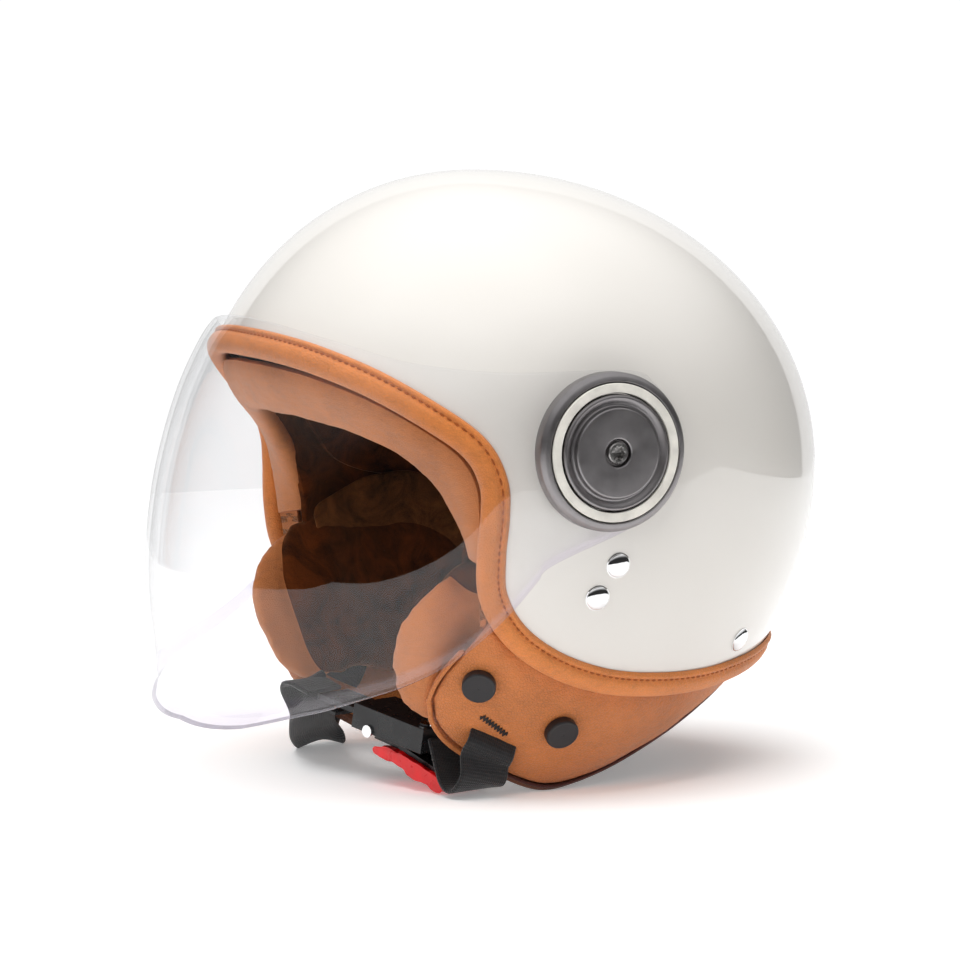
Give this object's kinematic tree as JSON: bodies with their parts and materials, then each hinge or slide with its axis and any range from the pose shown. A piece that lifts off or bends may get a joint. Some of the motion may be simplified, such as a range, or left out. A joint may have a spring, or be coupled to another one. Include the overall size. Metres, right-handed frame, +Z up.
{
  "type": "open face motorcycle helmet",
  "caption": "Open face motorcycle helmet with a hinged clear visor, leather trim, padded lining and a ratchet chin strap.",
  "frame": {"origin": "centre of the bounding box's bottom face, on the surface the helmet stands on", "axes": "-Y is the wearer's forward direction, +X the wearer's left, +Z up"},
  "size_m": [0.2754, 0.2844, 0.25],
  "materials": {
    "pearl_paint": "gloss pearl cream paint",
    "eps_foam": "moulded bead foam",
    "velour": "short pile",
    "tan_leather": "satin",
    "pad_leather": "soft satin",
    "piping": "satin",
    "binding": "woven tape",
    "black_snap": "satin",
    "chrome": "polished",
    "steel": "satin",
    "brass": "turned",
    "gunmetal": "satin metallic",
    "cream_plastic": "gloss",
    "black_plastic": "moulded, satin",
    "nylon": "satin",
    "webbing": "woven",
    "red_vinyl": "glossy coated tape",
    "clear_visor": "polished"
  },
  "bodies": {
    "helmet_body": {"outer_shell": "pearl_paint", "eps_liner": "eps_foam", "comfort_liner": "velour", "edge_trim": "tan_leather", "trim_bead": "piping", "brow_pad": "pad_leather", "cheek_pad_left": "pad_leather", "cheek_pad_right": "pad_leather", "cheek_core_left": "eps_foam", "cheek_core_right": "eps_foam", "neck_roll": "tan_leather", "neck_binding": "binding", "front_snap_left": "black_snap", "front_snap_right": "black_snap", "rear_snap_left": "black_snap", "rear_snap_right": "black_snap", "strap_rivet_upper_left": "chrome", "strap_rivet_upper_right": "chrome", "strap_rivet_lower_left": "chrome", "strap_rivet_lower_right": "chrome", "rear_rivet_left": "chrome", "rear_rivet_right": "chrome", "strap_rivet_upper_washer_left": "steel", "strap_rivet_upper_washer_right": "steel", "strap_rivet_lower_washer_left": "steel", "strap_rivet_lower_washer_right": "steel", "strap_left": "webbing", "strap_right": "webbing", "buckle_housing": "black_plastic", "lever_pin": "chrome", "return_spring": "steel", "buckle_rivet_a": "chrome", "buckle_rivet_b": "chrome", "pivot_base_left": "black_plastic", "friction_washer_left": "nylon", "bezel_left": "gunmetal", "cream_ring_left": "cream_plastic", "pivot_cap_left": "gunmetal", "torx_screw_left": "steel", "threaded_insert_left": "brass", "pivot_base_right": "black_plastic", "friction_washer_right": "nylon", "bezel_right": "gunmetal", "cream_ring_right": "cream_plastic", "pivot_cap_right": "gunmetal", "torx_screw_right": "steel", "threaded_insert_right": "brass"},
    "visor_body": {"visor": "clear_visor"},
    "lever_body": {"release_lever": "black_plastic", "pull_tab": "red_vinyl"},
    "ratchet_body": {"ratchet_tongue": "black_plastic", "strap_keeper": "black_plastic"}
  },
  "joints": [
    {"name": "visor_hinge", "type": "hinge", "parent": "helmet_body", "child": "visor_body", "pos_m": [0, -0.0061, 0.144], "axis": [-1, 0, 0], "range_deg": [0, 70]},
    {"name": "lever_hinge", "type": "hinge", "parent": "helmet_body", "child": "lever_body", "pos_m": [0.02616, -0.05604, 0.0225], "axis": [-0.3714, 0.9285, 0], "range_deg": [0, 30], "stiffness_Nm_per_rad": 0.05, "springref_deg": -17.19},
    {"name": "ratchet_slide", "type": "slide", "parent": "helmet_body", "child": "ratchet_body", "axis": [0.9129, 0.3652, -0.1826], "range_m": [-0.003, 0.005]}
  ]
}
